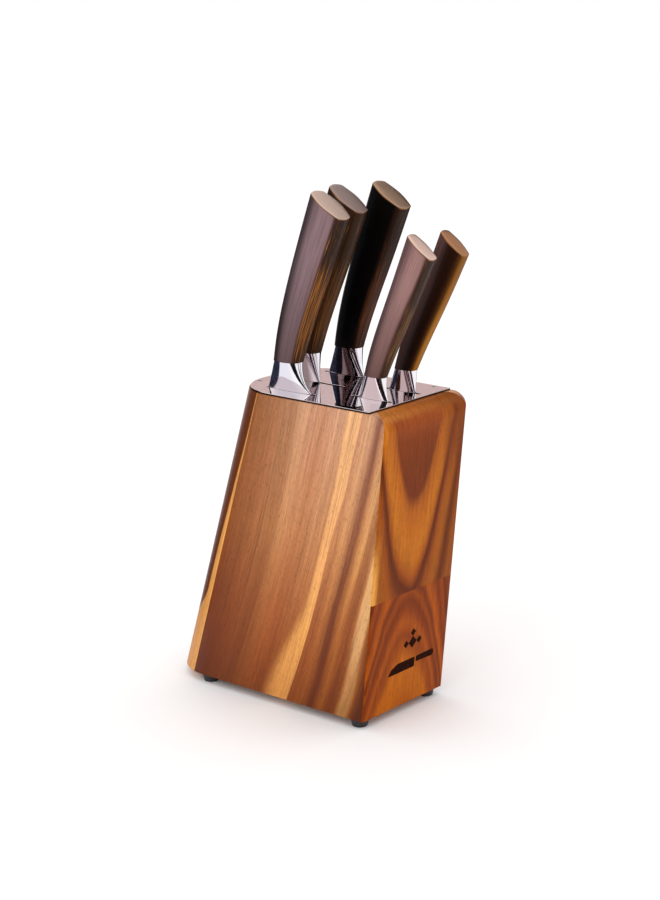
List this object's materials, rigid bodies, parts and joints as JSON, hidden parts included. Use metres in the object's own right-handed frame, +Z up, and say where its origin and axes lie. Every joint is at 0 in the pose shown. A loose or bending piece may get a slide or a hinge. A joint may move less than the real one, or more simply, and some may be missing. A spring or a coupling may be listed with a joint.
{
  "type": "knife block with knives",
  "caption": "Leaning wooden knife block with rounded back corners, slotted steel top plate, rubber feet and forged kitchen knives that slide out.",
  "frame": {"origin": "on the table, under the middle of the whole object's bounding box", "axes": "+Z up; -Y is the front, towards which the handles lean; +X to the right seen from the front"},
  "size_m": [0.0934, 0.2288, 0.3734],
  "materials": {
    "acacia_side": "satin lacquered acacia, striped",
    "acacia_front": "satin lacquered acacia, cathedral grain",
    "acacia_back": "satin lacquered acacia",
    "inner_wood": "raw sawn wood",
    "polished_plate": "polished stainless steel",
    "screw_steel": "turned stainless steel",
    "foot_rubber": "matt black rubber",
    "blade_steel": "satin ground stainless steel",
    "bolster_steel": "mirror polished stainless steel",
    "handle_wood_plum": "oiled dark wood, purple brown",
    "handle_wood_brown": "oiled dark wood, warm brown",
    "handle_wood_ebony": "oiled dark wood, nearly black",
    "handle_wood_amber": "oiled dark wood with amber edge",
    "champagne_cap": "satin champagne coated metal"
  },
  "bodies": {
    "block": {"left_front_stave": "acacia_side", "left_rear_stave": "acacia_side", "right_front_stave": "acacia_side", "right_rear_stave": "acacia_side", "back_board": "acacia_back", "front_upper_board": "acacia_front", "front_lower_board": "acacia_front", "base_board": "inner_wood", "lane_divider_1": "inner_wood", "lane_divider_2": "inner_wood", "lane_divider_3": "inner_wood", "lane_divider_4": "inner_wood", "top_plate": "polished_plate", "plate_screws": "screw_steel", "foot_front_left": "foot_rubber", "foot_front_right": "foot_rubber", "foot_rear_left": "foot_rubber", "foot_rear_right": "foot_rubber", "foot_screws": "screw_steel"},
    "chef_knife": {"chef_knife_blade": "blade_steel", "chef_knife_bolster": "bolster_steel", "chef_knife_handle": "handle_wood_plum", "chef_knife_butt_cap": "champagne_cap"},
    "slicing_knife": {"slicing_knife_blade": "blade_steel", "slicing_knife_bolster": "bolster_steel", "slicing_knife_handle": "handle_wood_brown", "slicing_knife_butt_cap": "champagne_cap"},
    "bread_knife": {"bread_knife_blade": "blade_steel", "bread_knife_bolster": "bolster_steel", "bread_knife_handle": "handle_wood_ebony", "bread_knife_butt_cap": "champagne_cap"},
    "utility_knife": {"utility_knife_blade": "blade_steel", "utility_knife_bolster": "bolster_steel", "utility_knife_handle": "handle_wood_plum", "utility_knife_butt_cap": "champagne_cap"},
    "paring_knife": {"paring_knife_blade": "blade_steel", "paring_knife_bolster": "bolster_steel", "paring_knife_handle": "handle_wood_amber", "paring_knife_butt_cap": "champagne_cap"}
  },
  "joints": [
    {"name": "chef_knife_draw", "type": "slide", "parent": "block", "child": "chef_knife", "axis": [0, -0.2924, 0.9563], "range_m": [0, 0.205]},
    {"name": "slicing_knife_draw", "type": "slide", "parent": "block", "child": "slicing_knife", "axis": [0, -0.2924, 0.9563], "range_m": [0, 0.205]},
    {"name": "bread_knife_draw", "type": "slide", "parent": "block", "child": "bread_knife", "axis": [0, -0.2924, 0.9563], "range_m": [0, 0.205]},
    {"name": "utility_knife_draw", "type": "slide", "parent": "block", "child": "utility_knife", "axis": [0, -0.3746, 0.9272], "range_m": [0, 0.13]},
    {"name": "paring_knife_draw", "type": "slide", "parent": "block", "child": "paring_knife", "axis": [0, -0.3939, 0.9191], "range_m": [0, 0.095]}
  ]
}
